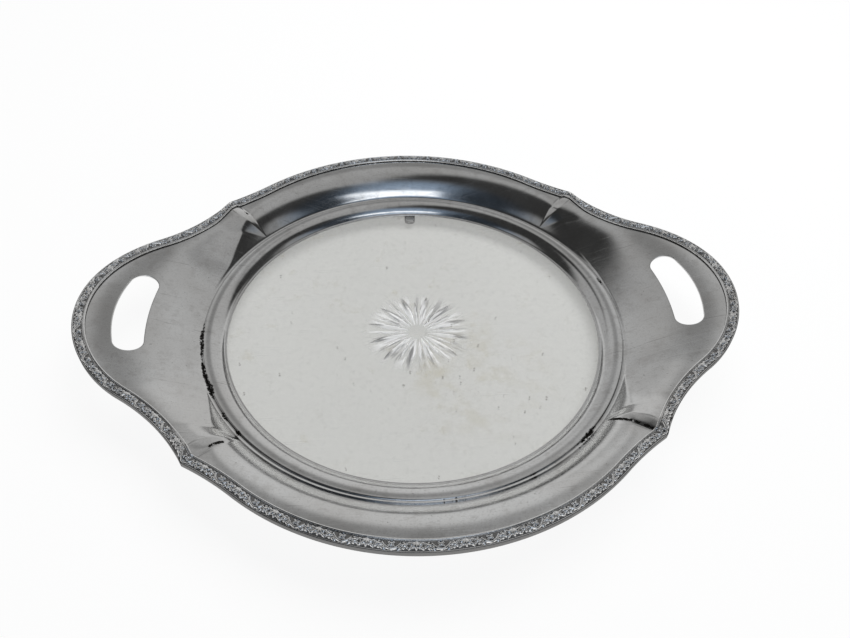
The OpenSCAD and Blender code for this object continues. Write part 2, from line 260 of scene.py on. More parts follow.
def dress(obj, slot, material, *nodes):
    obj.data.materials.append(material)
    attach(obj, "root")
    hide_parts(*nodes)
    return obj


# Node helpers
class Shader:
    def __init__(self, tree):
        self.tree = tree
        tree.nodes.clear()

    def node(self, kind, inputs=None, **settings):
        made = self.tree.nodes.new(kind)
        for key, value in settings.items():
            setattr(made, key, value)
        for key, value in (inputs or {}).items():
            self.feed(made.inputs[key], value)
        return made

    def feed(self, socket, value):
        if isinstance(value, bpy.types.NodeSocket):
            self.tree.links.new(value, socket)
        else:
            socket.default_value = value

    def math(self, kind, a, b=0.0, clamp=False):
        return self.node("ShaderNodeMath", {0: a, 1: b}, operation=kind, use_clamp=clamp).outputs[0]

    def add(self, *values):
        total = values[0]
        for value in values[1:]:
            total = self.math("ADD", total, value)
        return total

    def times(self, *values):
        product = values[0]
        for value in values[1:]:
            product = self.math("MULTIPLY", product, value)
        return product

    def most(self, *values):
        top = values[0]
        for value in values[1:]:
            top = self.math("MAXIMUM", top, value)
        return top

    def less(self, a, b):
        return self.math("SUBTRACT", a, b)

    def vector(self, kind, inputs, output="Vector"):
        return self.node("ShaderNodeVectorMath", inputs, operation=kind).outputs[output]

    def remap(self, value, lo, hi, out_lo=0.0, out_hi=1.0):
        """A smooth step from out_lo at lo to out_hi at hi."""
        return self.node(
            "ShaderNodeMapRange",
            {"Value": value, "From Min": lo, "From Max": hi, "To Min": out_lo, "To Max": out_hi},
            interpolation_type="SMOOTHSTEP",
        ).outputs["Result"]

    def mix(self, share, a, b):
        made = self.node("ShaderNodeMix", data_type="RGBA")
        for socket, value in zip((made.inputs[0], made.inputs[6], made.inputs[7]), (share, a, b)):
            self.feed(socket, value)
        return made.outputs[2]

    def noise(self, where, scale, detail=3.0, rough=0.55):
        return self.node(
            "ShaderNodeTexNoise", {"Vector": where, "Scale": scale, "Detail": detail, "Roughness": rough}
        ).outputs["Fac"]

    def attribute(self, name):
        return self.node("ShaderNodeAttribute", attribute_name=name).outputs["Fac"]

    def scratches(self, where, turn, length, width, lo, hi):
        """Fine lines at a turn, from noise drawn out along them, seen between two of its levels."""
        placed = self.node(
            "ShaderNodeMapping",
            {"Vector": where, "Rotation": (0.0, 0.0, turn), "Scale": (length, width, length)},
        ).outputs["Vector"]
        return self.remap(self.noise(placed, 1.0, 2.0, 0.5), lo, hi)


def new_material(name):
    material = bpy.data.materials.new(name)
    material.use_nodes = True
    shader = Shader(material.node_tree)
    output = shader.node("ShaderNodeOutputMaterial")
    where = shader.node("ShaderNodeTexCoord").outputs["Object"]
    return material, shader, output, where


def grey(v, warm=0.0):
    return (v * (1 + warm), v, v * (1 - warm), 1.0)


# Scratches: turn, scale along and across the lines, and the noise levels between which they show
PLATE_SCRATCHES = [(0.4, 20.0, 1500.0, 0.62, 0.76), (1.9, 26.0, 1300.0, 0.63, 0.77),
                   (2.7, 34.0, 1900.0, 0.63, 0.77)]
DARK_SCRATCHES = (1.1, 30.0, 1000.0, 0.68, 0.76)
GLASS_SCRATCHES = [(0.9, 14.0, 900.0, 0.70, 0.76), (2.4, 18.0, 1100.0, 0.71, 0.77)]
# How far the masked stains and painted shade spread, and how much rougher they make the plate
MASK_EDGE, MASK_ROUGHER = (0.40, 0.56), 0.45
BUMP_SHARE, BUMP_DEPTH = 0.35, 0.0003


# Aged silver plate: cloudy polish, fine scratches, stains, and dark residue, tarnish in hollows and painted
# shade where the masks say
def plate_material(name, tone, rough, masks=(), wave=1.0, metal=1.0):
    material, s, output, where = new_material(name)
    cloud = s.noise(where, scale=26.0, detail=4.0)
    blotch = s.noise(where, scale=150.0, detail=5.0, rough=0.65)
    grain = s.noise(where, scale=900.0, detail=3.0, rough=0.6)
    stain = s.remap(s.noise(where, scale=48.0, detail=5.0, rough=0.62), 0.56, 0.74)
    pits = s.remap(s.noise(where, scale=620.0, detail=2.0), 0.70, 0.76)
    worn = s.most(*[s.scratches(where, *lines) for lines in PLATE_SCRATCHES])
    dark_lines = s.scratches(where, *DARK_SCRATCHES)
    layers = [
        (stain, 0.42, grey(tone * 0.72, 0.03)),
        (s.remap(blotch, 0.50, 0.70), 0.45, grey(tone * 0.70, 0.02)),
        (s.remap(grain, 0.48, 0.72), 0.40, grey(tone * 0.70, 0.01)),
        (pits, 0.55, grey(0.16, 0.03)),
        (worn, 0.24, grey(tone * 1.25)),
        (dark_lines, 0.5, grey(tone * 0.4, 0.02)),
    ]
    colour = s.mix(s.remap(cloud, 0.3, 0.7), grey(tone * 0.91, 0.008), grey(tone * 1.08, -0.004))
    for layer, level, shade in layers:
        colour = s.mix(s.times(layer, level), colour, shade)
    shine = s.remap(cloud, 0.25, 0.75, rough - 0.03, rough + 0.04)
    shine = s.add(shine, s.times(stain, 0.05), s.times(worn, 0.08))
    ragged = s.remap(s.noise(where, scale=480.0, detail=5.0, rough=0.75), 0.32, 0.68, 0.35, 1.65)
    for attribute, level, shade in masks:
        share = s.times(s.remap(s.times(s.attribute(attribute), ragged), *MASK_EDGE), level)
        colour = s.mix(share, colour, shade)
        shine = s.math("ADD", shine, s.times(share, MASK_ROUGHER), True)
    height = s.add(
        s.times(s.noise(where, scale=40.0, detail=2.0), wave),
        s.times(worn, 0.02),
        s.times(blotch, 0.05),
        s.times(grain, 0.006),
    )
    bump = s.node("ShaderNodeBump", {"Strength": BUMP_SHARE, "Distance": BUMP_DEPTH, "Height": height})
    bsdf = s.node(
        "ShaderNodeBsdfPrincipled",
        {"Base Color": colour, "Metallic": metal, "Roughness": shine, "Normal": bump.outputs["Normal"]},
    )
    s.tree.links.new(bsdf.outputs[0], output.inputs["Surface"])
    return material


# Old clear glass: a thin uneven film with a yellowed patch at the front right, scratches, specks,
# the satin cuts of the star with painted shade at their tips, and painted highlights and painted shadows
# in streaks round its middle. Places are in metres.
PATCH_AT, PATCH_REACH = (0.036, -0.044, 0.009), (0.018, 0.062)
SPECK_SCALE, SPECK_LEVEL, SPECK_PATCH, SPECK_SIZE = 210.0, 0.974, 0.13, (0.03, 0.13)
# Painted highlight and painted shadow streaks round the star: where they start, where the shadows start,
# where they end, and the scales of the noise that draws them
STREAK_START, STREAK_SHADE_START, STREAK_END = (0.009, 0.015), (0.008, 0.016), (0.025, 0.037)
STREAK_TURN, STREAK_RUN = 8.0, 45.0
# The underside tint greys all seen through the glass: partly the old glass's own grey, partly painted shade
# of the floor beneath
TOP_TINT, UNDER_TINT_AND_SHADE = (0.95, 0.95, 0.945, 1.0), (0.492, 0.497, 0.463, 1.0)
YELLOWED = (0.50, 0.46, 0.34, 1.0)
GLASS_IOR, CUT_ROUGH = 1.5, 0.15


def glass_material(name):
    material, s, output, where = new_material(name)
    haze = s.noise(where, scale=22.0, detail=4.0)
    fine = s.noise(where, scale=240.0, detail=4.0, rough=0.65)
    patch = s.remap(s.vector("DISTANCE", {0: where, 1: PATCH_AT}, "Value"), *PATCH_REACH, 1.0, 0.0)
    cell = s.node(
        "ShaderNodeTexVoronoi",
        {"Vector": where, "Scale": SPECK_SCALE, "Randomness": 1.0},
        voronoi_dimensions="2D",
    )
    chance = s.node("ShaderNodeSeparateColor", {0: cell.outputs["Color"]}).outputs
    kept = s.math("GREATER_THAN", s.add(chance[0], s.times(patch, SPECK_PATCH)), SPECK_LEVEL)
    size = s.remap(chance[1], 0.0, 1.0, *SPECK_SIZE)
    uneven = s.remap(s.noise(where, scale=1400.0, detail=3.0), 0.3, 0.7, 0.4, 1.7)
    ragged = s.times(cell.outputs["Distance"], uneven)
    specks = s.times(kept, s.remap(s.math("DIVIDE", ragged, size), 0.5, 1.0, 1.0, 0.0))
    smear = s.remap(s.noise(where, scale=85.0, detail=6.0, rough=0.7), 0.55, 0.70)
    marks = s.times(smear, s.remap(haze, 0.4, 0.6))
    yellow = s.times(patch, s.remap(s.noise(where, scale=70.0, detail=5.0, rough=0.6), 0.46, 0.68))
    worn = s.most(*[s.scratches(where, *lines) for lines in GLASS_SCRATCHES])
    cut, dim, under = s.attribute("cut"), s.attribute("dim"), s.attribute("under")
    out = s.vector("SUBTRACT", {0: where, 1: (star_x * MM, -star_y * MM, 0.0)})
    out = s.vector("MULTIPLY", {0: out, 1: (1.0, 1.0, 0.0)})
    far = s.vector("LENGTH", {0: out}, "Value")
    spoke = s.vector("SCALE", {0: s.vector("NORMALIZE", {0: out}), "Scale": STREAK_TURN})
    run = s.node("ShaderNodeCombineXYZ", {2: s.times(far, STREAK_RUN)}).outputs[0]
    streak = s.noise(s.vector("ADD", {0: spoke, 1: run}), scale=1.0, detail=2.0)
    burst = s.times(s.remap(far, *STREAK_START), s.remap(far, *STREAK_END, 1.0, 0.0), under)
    # Painted highlights and painted shadows in streaks round the star's middle, on the underside
    bright = s.times(s.remap(streak, 0.50, 0.62), burst)
    shade = s.times(s.remap(streak, 0.36, 0.47, 1.0, 0.0), burst, s.remap(far, *STREAK_SHADE_START))
    film = s.add(
        s.remap(haze, 0.3, 0.75, 0.03, 0.09),
        s.times(s.remap(fine, 0.5, 0.75), 0.07),
        s.times(worn, 0.22),
        s.times(yellow, 0.20),
        s.times(specks, 0.6),
        s.times(marks, 0.16),
    )
    star = s.add(
        s.remap(cut, 0.0, 0.5, 0.0, 0.7), s.times(dim, 0.3), s.times(bright, 0.65), s.times(shade, 0.55)
    )
    film = s.math("ADD", film, star, True)
    glass = s.node(
        "ShaderNodeBsdfPrincipled",
        {
            "Base Color": s.mix(under, TOP_TINT, UNDER_TINT_AND_SHADE),
            "Roughness": s.times(cut, CUT_ROUGH),
            "IOR": GLASS_IOR,
            "Transmission Weight": 1.0,
        },
    )
    tone = s.mix(s.remap(fine, 0.45, 0.7), grey(0.62, 0.01), grey(0.50, 0.02))
    tone = s.mix(s.most(yellow, marks), tone, YELLOWED)
    # The film is white on the cuts and the painted highlights, and dark on the painted shade and shadows
    tone = s.mix(s.most(s.remap(cut, 0.0, 0.3), bright), tone, grey(0.98))
    tone = s.mix(s.most(s.times(dim, 0.8), shade), tone, grey(0.30))
    tone = s.mix(specks, tone, grey(0.10, 0.12))
    dust = s.node("ShaderNodeBsdfDiffuse", {"Color": tone})
    seen = s.node("ShaderNodeMixShader", {0: film, 1: glass.outputs[0], 2: dust.outputs[0]})
    through = s.node("ShaderNodeBsdfTransparent", {"Color": s.mix(cut, grey(0.93), grey(0.45))})
    path = s.node("ShaderNodeLightPath")
    lamp = s.most(path.outputs["Is Shadow Ray"], path.outputs["Is Diffuse Ray"])
    made = s.node("ShaderNodeMixShader", {0: lamp, 1: seen.outputs[0], 2: through.outputs[0]})
    s.tree.links.new(made.outputs[0], output.inputs["Surface"])
    return material


# Black residue left in the seam: azimuth and half spread in degrees, then strength. It is wider on the
# ring at one place. On the ribs: azimuth, and the radii where a spot starts and ends.
SEAM_DIRT = [(186, 8, 1.0), (197, 6, 1.0), (203, 4, 1.0), (213, 2, 0.9), (219, 1.6, 0.8),
             (275, 7, 0.36), (294, 2, 0.6), (312, 4.5, 1.0), (12, 2, 0.8), (54, 2, 0.5)]
RIB_DIRT = [(180 + cusp_a, 139.0, 146.0), (360 - cusp_a, 133.0, 147.0), (360 - cusp_a, 150.0, 154.0),
            (180 - cusp_a, 145.5, 147.5)]
SHEET_REACH, RING_REACH, SPOT_EDGE = 2.0, 2.2, 1.3
WIDE_AT, WIDE_SPREAD, WIDE_SHARE = 202, 5, 0.9
RIB_SPOT_R, RIB_SPOT_LEVEL = 1.2, 1.1


def angle_gap(a, b):
    return np.abs(np.mod(a - b + 180, 360) - 180)


def seam_dirt(points, reach):
    r, a = np.hypot(points[:, 0], points[:, 1]), angle_of(points)
    share = np.max([k * np.clip(SPOT_EDGE - angle_gap(a, m) / w, 0, 1) for m, w, k in SEAM_DIRT], axis=0)
    wider = 1 + WIDE_SHARE * np.clip(1 - angle_gap(a, WIDE_AT) / WIDE_SPREAD, 0, 1)
    reach = np.where(r < seam_r, reach * wider, reach)
    return share * np.clip(1 - np.abs(r - seam_r) / reach, 0, 1)


def rib_dirt(points):
    r, a = np.hypot(points[:, 0], points[:, 1]), angle_of(points)
    spots = []
    for m, start, end in RIB_DIRT:
        aside = r * np.radians(angle_gap(a, m))
        beyond = np.maximum(np.maximum(start - r, r - end), 0)
        spots.append(np.clip(RIB_SPOT_LEVEL * (1 - np.hypot(aside, beyond) / RIB_SPOT_R), 0, 1))
    return np.max(spots, axis=0)


# Sheet: a polar grid with a ring of cells fitted round each hand slot
BLOCK_DEG, RIB_ZONE = 14.0, 8.5
EAR_COLS, NECK_COLS, RIB_COLS, PANEL_COLS = 15, 24, 87, 46
quarter = np.concatenate([
    np.linspace(0, BLOCK_DEG, EAR_COLS)[:-1],
    np.linspace(BLOCK_DEG, cusp_a - RIB_ZONE, NECK_COLS)[:-1],
    np.linspace(cusp_a - RIB_ZONE, cusp_a + RIB_ZONE, RIB_COLS)[:-1],
    np.linspace(cusp_a + RIB_ZONE, 90, PANEL_COLS)[:-1],
])
half_ring = np.concatenate([quarter, [90.0], 180 - quarter[:0:-1]])
full_ring = np.concatenate([half_ring, half_ring + 180])
ROW_COUNT, ROW_POWER = 52, 1.3
row_share = np.linspace(0, 1, ROW_COUNT) ** ROW_POWER
BLOCK_ROWS = [1 + int(np.searchsorted(row_share, share)) for share in (0.33, 0.80)]
SLOT_EDGE, SLOT_BEND = 0.35, np.array([30.0, 60.0, 90.0])
SLOT_ROWS, SLOT_POWER = 8, 1.5
# Angles from which an edge of each piece is sharp
SHEET_SHARP, RING_SHARP, FOOT_SHARP, GLASS_SHARP, BORDER_SHARP = 50, 40, 50, 12, 55


def slot_outline(u, w, reach):
    """The point of the slot's outline, moved out by reach, that faces a point beside the slot."""
    half = (slot_len - slot_end_w) / 2
    mid = np.clip(u, -half, half)
    wide = slot_w - (slot_w - slot_end_w) * (mid / half) ** 2
    low = (wide - slot_w) / 2
    far = np.hypot(u - mid, w - low)
    size = wide / 2 + reach
    return mid + (u - mid) / far * size, low + (w - low) / far * size


def slot_place(turn, u, w, drop):
    bearing = turn + np.degrees(u / slot_r)
    x, y = (slot_r + w) * cos(bearing), (slot_r + w) * sin(bearing)
    return np.stack([x, y, sheet_z(x, y) - drop], -1)


def sheet_piece():
    edge = edge_r(fold(full_ring), sheet_edge)[:, None]
    r = np.concatenate([np.full_like(edge, sheet_in_r), seam_r + (edge - seam_r) * row_share[None]], 1)
    x, y = r * cos(full_ring)[:, None], r * sin(full_ring)[:, None]
    rings, cols = r.shape
    index = np.arange(r.size).reshape(rings, cols)
    points = [np.stack([x, y, sheet_z(x, y)], -1).reshape(-1, 3)]
    total = r.size
    taken = np.zeros((rings, cols), bool)
    step = int(np.searchsorted(full_ring, BLOCK_DEG - TINY))
    low, high = BLOCK_ROWS
    faces = []
    slots = []
    for middle in (0, rings // 2):
        span = [(middle + k) % rings for k in range(-step, step + 1)]
        taken[np.array(span[:-1])[:, None], np.arange(low, high)[None]] = True
        loop = [index[i, low] for i in span] + [index[span[-1], j] for j in range(low + 1, high + 1)]
        loop += [index[i, high] for i in span[-2::-1]] + [index[span[0], j] for j in range(high - 1, low, -1)]
        p = points[0][loop]
        bearing = np.mod(angle_of(p) - full_ring[middle] + 180, 360) - 180
        u, w = np.radians(bearing) * slot_r, np.hypot(p[:, 0], p[:, 1]) - slot_r
        su, sw = slot_outline(u, w, SLOT_EDGE)
        for k in range(1, SLOT_ROWS + 1):
            t = 1 - (1 - k / SLOT_ROWS) ** SLOT_POWER
            points.append(slot_place(full_ring[middle], u + (su - u) * t, w + (sw - w) * t, 0))
            ring = list(range(total, total + len(loop)))
            total += len(loop)
            faces += strip_faces(ring, loop)
            loop = ring
        slots.append((full_ring[middle], u, w, loop))
    for i in range(rings):
        n = (i + 1) % rings
        faces += [(index[i, j], index[i, j + 1], index[n, j + 1], index[n, j])
                  for j in range(cols - 1) if not taken[i, j]]
    top = np.concatenate(points)
    inner = {index[i, j] for i in range(rings) for j in range(low + 1, high)
             if taken[i, j] and taken[i - 1, j]}
    faces += [tuple(k + total for k in f[::-1]) for f in faces]
    outer = list(index[:, -1])
    faces += strip_faces([k + total for k in outer], outer)
    hole = list(index[:, 0])
    faces += strip_faces(hole, [k + total for k in hole])
    verts = [top, top - [0, 0, sheet_t]]
    count = 2 * total
    drop, reach = SLOT_EDGE * (1 - cos(SLOT_BEND)), SLOT_EDGE * (1 - sin(SLOT_BEND))
    drops = list(drop) + list(sheet_t - drop[::-1])
    reaches = list(reach) + list(reach[::-1])
    for turn, u, w, loop in slots:
        last = loop
        for drop, reach in zip(drops, reaches):
            verts.append(slot_place(turn, *slot_outline(u, w, reach), drop))
            ring = list(range(count, count + len(loop)))
            count += len(loop)
            faces += strip_faces(ring, last)
            last = ring
        faces += strip_faces([k + total for k in loop], last)
    verts = np.concatenate(verts)
    used = np.ones(count, bool)
    used[list(inner)] = False
    used[[k + total for k in inner]] = False
    number = np.cumsum(used) - 1
    obj = mesh_object("tray_sheet", verts[used], [tuple(number[list(f)]) for f in faces], SHEET_SHARP)
    mask(obj, "dirt_and_shade", np.maximum(seam_dirt(verts[used], SHEET_REACH), rib_dirt(verts[used])))
    return obj


# Rings turned from their profiles, and the tab
RING_STEPS, FOOT_STEPS = 720, 300
LIP_STEPS, DOME_STEPS, UNDER_STEPS, BEAD_STEPS, BEAD_START, TAB_STEPS = 8, 20, 12, 15, 6, 28
FOOT_ROUND, ROUND_STEPS = 0.5, 4
# The tab's bevel, and how far in from its edge the painted shade on its top reaches
TAB_BEVEL, TAB_SHADE_WIDTH = 0.2, 1.6


def bezel_piece():
    cove_in_r, crest_r = lip_r + lip_flat, seam_r - bead_r
    crest_rise = collar_rise + bead_h
    turn = 2 * np.degrees(np.arctan(crest_rise / (crest_r - cove_in_r)))
    collar_r = (crest_r - cove_in_r) / sin(turn)
    cove_r, crown_r = cove_share * collar_r, (1 - cove_share) * collar_r
    skirt_turn = np.degrees(np.arcsin((crest_r - skirt_in_r) / (crown_r - lip_t)))
    cove_c = (cove_in_r, lip_z + cove_r)
    crown_c = (crest_r, lip_z + crest_rise - crown_r)
    profile = arc((lip_r + lip_t / 2, lip_z - lip_t / 2), lip_t / 2, 270, 90, LIP_STEPS)
    profile += arc(cove_c, cove_r, -90, turn - 90, DOME_STEPS)
    profile += arc(crown_c, crown_r, 90 + turn, 90, DOME_STEPS)[1:]
    profile += [(crest_r + bead_r * sin(t), seat_z + bead_h * cos(t))
                for t in np.linspace(BEAD_START, 90, BEAD_STEPS)]
    profile += [(skirt_out_r, seat_z), (skirt_out_r, foot_h), (skirt_in_r, foot_h)]
    profile += arc(crown_c, crown_r - lip_t, 90 + skirt_turn, 90 + turn, UNDER_STEPS)
    profile += arc(cove_c, cove_r + lip_t, turn - 90, -90, UNDER_STEPS)[1:]
    obj = lathe("bezel", profile, RING_STEPS, RING_SHARP)
    points = np.array([v.co for v in obj.data.vertices]) / MM
    mask(obj, "dirt_and_shade", seam_dirt(points, RING_REACH))
    return obj


def base_piece():
    profile = [
        (wall_in_r, 0), (wall_out_r + foot_w, 0), (wall_out_r + foot_w, base_t), (wall_out_r, base_t),
        (wall_out_r, seat_z - sheet_t), (wall_in_r, seat_z - sheet_t), (wall_in_r, foot_h),
        (ledge_in_r, foot_h), (ledge_in_r, foot_h - base_t), (wall_in_r, foot_h - base_t),
    ]
    return lathe("foot_ring", rounded(profile, FOOT_ROUND, ROUND_STEPS), FOOT_STEPS, FOOT_SHARP)


def tab_piece():
    """The tab, with painted shade on its sides and round the edge of its flat top."""
    end_y = lip_r - tab_reach + tab_w / 2
    back_y = wall_in_r - glass_gap
    half = tab_w / 2
    line = np.array([(-half, back_y)] + arc((0, end_y), half, 180, 360, TAB_STEPS) + [(half, back_y)])
    inward = np.array([(0, (end_y + back_y) / 2)])
    high = foot_h - base_t
    low = high - tab_t
    levels = [(TAB_BEVEL, low), (0, low + TAB_BEVEL), (0, high - TAB_BEVEL), (TAB_BEVEL, high)]
    loops = []
    for shrink, z in levels + [(TAB_SHADE_WIDTH, high)]:
        flat = line + (inward - line) * shrink / half
        x = flat[:, 0] * cos(tab_turn) + flat[:, 1] * sin(tab_turn)
        y = flat[:, 1] * cos(tab_turn) - flat[:, 0] * sin(tab_turn)
        loops.append(np.stack([x, y, np.full(len(line), z)], -1))
    index = np.arange(len(loops) * len(line)).reshape(len(loops), -1)
    faces = grid_faces(index, False) + [tuple(index[0][::-1]), tuple(index[-1])]
    obj = mesh_object("rest_tab", np.concatenate(loops), faces, RING_SHARP)
    # Painted shade: all but the inner loop of the top is darkened, so the tab's sides and top edge look
    # shaded
    mask(obj, "dirt_and_shade", np.arange(index.size) < index[-1][0])
    return obj


# Glass: flat top, rounded edge, and the star of mitre cuts in its underside
GLASS_BEVEL, GLASS_STEPS, CUT_STEPS, MERGE = 0.4, 240, 14, 1e-5
UNDER_RINGS = [(90, 120), (62, 96), (42, 96)]
TOP_RADII = [100, 80, 60, 40, 20, 8]
# Where the satin of the cuts fades, by how much, and where the painted shade at their tips starts
SATIN_END, SATIN_FADE, SATIN_LOSS, TIP_SHADE_START, TIP_SHADE_RUN = 17, 9, 0.8, 21, 6


def glass_piece():
    flat, depth, edges = [], [], []

    def path(points, deep, closed=False):
        start = len(flat)
        flat.extend(points)
        depth.extend(deep)
        n = len(points)
        edges.extend((start + i, start + (i + 1) % n) for i in range(n if closed else n - 1))

    rim = np.arange(GLASS_STEPS) * 360 / GLASS_STEPS
    flat_r = glass_r - GLASS_BEVEL
    for radius, steps in [(flat_r, GLASS_STEPS)] + UNDER_RINGS:
        path([(radius * cos(a), radius * sin(a)) for a in np.arange(steps) * 360 / steps], [0] * steps, True)
    turn = 360 / star_rays
    s = np.linspace(0, 1, CUT_STEPS + 1)
    lens = 4 * s * (1 - s)
    for k in range(2 * star_rays):
        wide = k % 2
        reach, width, deep = (star_r, ray_w, ray_depth) if wide else (fine_r, fine_w, fine_depth)
        a = turn * k / 2
        out = hub_r + (reach - hub_r) * s
        ridge = np.array([star_x, -star_y]) + out[:, None] * np.array([cos(a), sin(a)])
        across = (width / 2 * lens)[:, None] * np.array([-sin(a), cos(a)])
        loop = list(ridge + across) + list((ridge - across)[-2:0:-1])
        path([tuple(p) for p in loop], [0] * len(loop), True)
        path([tuple(p) for p in ridge[1:-1]], list(deep * lens[1:-1]))
    made = geometry.delaunay_2d_cdt([Vector(p) for p in flat], edges, [], 0, MERGE)
    spots = np.array([tuple(v) for v in made[0]])
    deep = np.array([max(depth[k] for k in origin) if origin else 0.0 for origin in made[3]])
    under = np.column_stack([spots, foot_h + deep])
    faces = [tuple(f)[::-1] for f in made[2]]
    count = len(under)
    ring_of = {origin: k for k, many in enumerate(made[3]) for origin in many}
    last = [ring_of[k] for k in range(GLASS_STEPS)]
    verts = [under]
    steps = [(glass_r - GLASS_BEVEL * (1 - sin(t)), foot_h + GLASS_BEVEL * (1 - cos(t))) for t in (45, 90)]
    steps += [(r, 2 * foot_h + glass_t - z) for r, z in steps[::-1]]
    steps += [(r, glass_top) for r in [flat_r] + TOP_RADII]
    for r, z in steps:
        verts.append(np.stack([r * cos(rim), r * sin(rim), np.full(GLASS_STEPS, z)], -1))
        ring = list(range(count, count + GLASS_STEPS))
        count += GLASS_STEPS
        faces += strip_faces(last, ring)
        last = ring
    faces.append(tuple(last))
    obj = mesh_object("star_glass", np.concatenate(verts), faces, GLASS_SHARP)
    reach = np.hypot(spots[:, 0] - star_x, spots[:, 1] + star_y)
    cut, dim = np.zeros(count), np.zeros(count)
    cut[:len(under)] = (deep > 0) * (1 - SATIN_LOSS * ease((reach - SATIN_END) / SATIN_FADE))
    # Painted shade darkening the outer tips of the cuts
    dim[:len(under)] = (deep > 0) * ease((reach - TIP_SHADE_START) / TIP_SHADE_RUN)
    mask(obj, "cut", cut)
    mask(obj, "dim", dim)
    mask(obj, "under", np.arange(count) < len(under))
    return obj


# Struck border: the strip's moulding and one repeat of its flower, scroll and leaf relief, in millimetres
FIELD, UNIT = (0.7, 5.5), 23.0
SCROLL_HALF, SCROLL_LOW, SCROLL_RISE = 4.4, -1.7, 2.9
HEART, PETAL_AT, PETAL_LONG, PETAL_WIDE, PETAL_H = 0.45, 0.66, 0.42, 0.36, 0.85
FAN = [(-62, 0.9), (-31, 1.0), (0, 1.15), (31, 1.0), (62, 0.9)]
GROUND_DIP, GROUND_CROWN, CARVE_EDGE, RECESS_DEPTH = 0.1, 0.2, 8, 0.3
ROLL_H, ROLL_AT, ROLL_HALF = 0.25, 0.45, 0.5
HEAD_STEPS, TAIL_STEPS, PAST_MITRE = 160, 240, 4
# The last two: how far in from the outer edge the painted shade on the strip reaches, and its strength
COLUMN_LEN, FIELD_ROWS, APRON_SHADE_EDGE, APRON_SHADE_LEVEL = 0.3, 22, 0.25, 2.0


def bump(x, y, cx, cy, turn, long, wide, high):
    """A rounded boss: its middle, turn, half length, half width and height."""
    dx, dy = x - cx, y - cy
    p = dx * cos(turn) + dy * sin(turn)
    q = dy * cos(turn) - dx * sin(turn)
    return high * np.sqrt(np.clip(1 - (p / long) ** 2 - (q / wide) ** 2, 0, None))


def tube(distance, wide, high):
    """A rounded ridge at a distance from its middle line."""
    return high * np.sqrt(np.clip(1 - (distance / wide) ** 2, 0, None))


def rosette(x, y, cx, cy, size, petals):
    """A flower: its middle, size and number of petals."""
    parts = [bump(x, y, cx, cy, 0, HEART * size, HEART * size, 1.0)]
    for k in range(petals):
        a = 360 * (k + 0.5) / petals
        px, py = cx + PETAL_AT * size * cos(a), cy + PETAL_AT * size * sin(a)
        parts.append(bump(x, y, px, py, a, PETAL_LONG * size, PETAL_WIDE * size, PETAL_H))
    return np.maximum.reduce(parts)


def relief(s, d, unit):
    """Height of the ornament over its ground, at a distance along and across the strip."""
    x = np.abs((s / unit + 0.5) % 1 - 0.5) * unit
    y = d - sum(FIELD) / 2
    parts = [rosette(x, y, 0, 0.6, 1.8, 5), rosette(x, y, unit / 4 + 0.4, 0.1, 1.9, 5)]
    scroll = SCROLL_LOW + SCROLL_RISE * (x / SCROLL_HALF) ** 2
    slope = 2 * SCROLL_RISE * x / SCROLL_HALF ** 2
    parts.append(np.where(x < SCROLL_HALF, tube((y - scroll) / np.sqrt(1 + slope ** 2), 0.62, 0.95), 0))
    parts.append(bump(x, y, 3.6, -1.5, 24, 1.5, 0.7, 0.75))
    parts.append(bump(x, y, unit / 4 + 2.9, 1.1, -36, 1.4, 0.7, 0.8))
    parts.append(bump(x, y, unit / 4 + 2.9, -1.0, 36, 1.4, 0.7, 0.8))
    for turn, size in FAN:
        a = -90 + turn
        parts.append(bump(x, y, unit / 2 + 1.75 * cos(a), 1.9 + 1.9 * sin(a), a, 1.75 * size, 0.75, size))
    parts.append(bump(x, y, unit / 2, 1.7, 0, 0.9, 0.6, 1.0))
    return np.maximum.reduce(parts)


def border_profile(s, d, unit):
    """Height of the strip over the sheet, and how deep the spot lies in the ornament."""
    mid, half = sum(FIELD) / 2, (FIELD[1] - FIELD[0]) / 2
    inside = np.clip(1 - np.abs(d - mid) / half, 0, 1)
    ground = hollow_h - GROUND_DIP + GROUND_CROWN * ease(inside * 1.5)
    carved = np.minimum(relief(s, d, unit), border_h - ground) * ease(inside * CARVE_EDGE)
    field = ground + carved
    roll = shoulder_h + tube(d - ROLL_AT, ROLL_HALF, ROLL_H)
    bead = hollow_h + tube(d - border_w + edge_bead_w / 2, edge_bead_w / 2, edge_bead_h - hollow_h)
    inner = np.maximum(field, np.where(d > border_w - edge_bead_w, bead, 0))
    height = np.where(d < FIELD[0] + 0.1, np.maximum(roll, field), inner)
    return height, np.where(inside > 0.02, 1 - np.clip(carved / RECESS_DEPTH, 0, 1), 0)


def rim_run(d, ear):
    """Points of the rim moved in by d, from the middle of a strip to its mitre."""
    if ear:
        head = np.linspace(90, ear_turn, HEAD_STEPS)
        first = ear_c + (ear_r - d) * side(head)
        tail = np.linspace(ear_turn, cusp_out + PAST_MITRE, TAIL_STEPS)[1:]
        second = neck_c - (neck_r + d) * side(tail)
    else:
        head = np.linspace(0, panel_turn, HEAD_STEPS)
        first = panel_c + (panel_r - d) * side(head)
        tail = np.linspace(panel_turn, cusp_in - PAST_MITRE, TAIL_STEPS)[1:]
        second = ogee_c - (ogee_r + d) * side(tail)
    run = np.concatenate([first, second])
    clear = (run - cusp) @ along(mitre_in)
    gap = solder_gap / 2
    clear = clear - gap if ear else -clear - gap
    keep = int(np.argmax(clear < 0))
    share = clear[keep - 1] / (clear[keep - 1] - clear[keep])
    end = run[keep - 1] + (run[keep] - run[keep - 1]) * share
    return np.concatenate([run[:keep], end[None]])


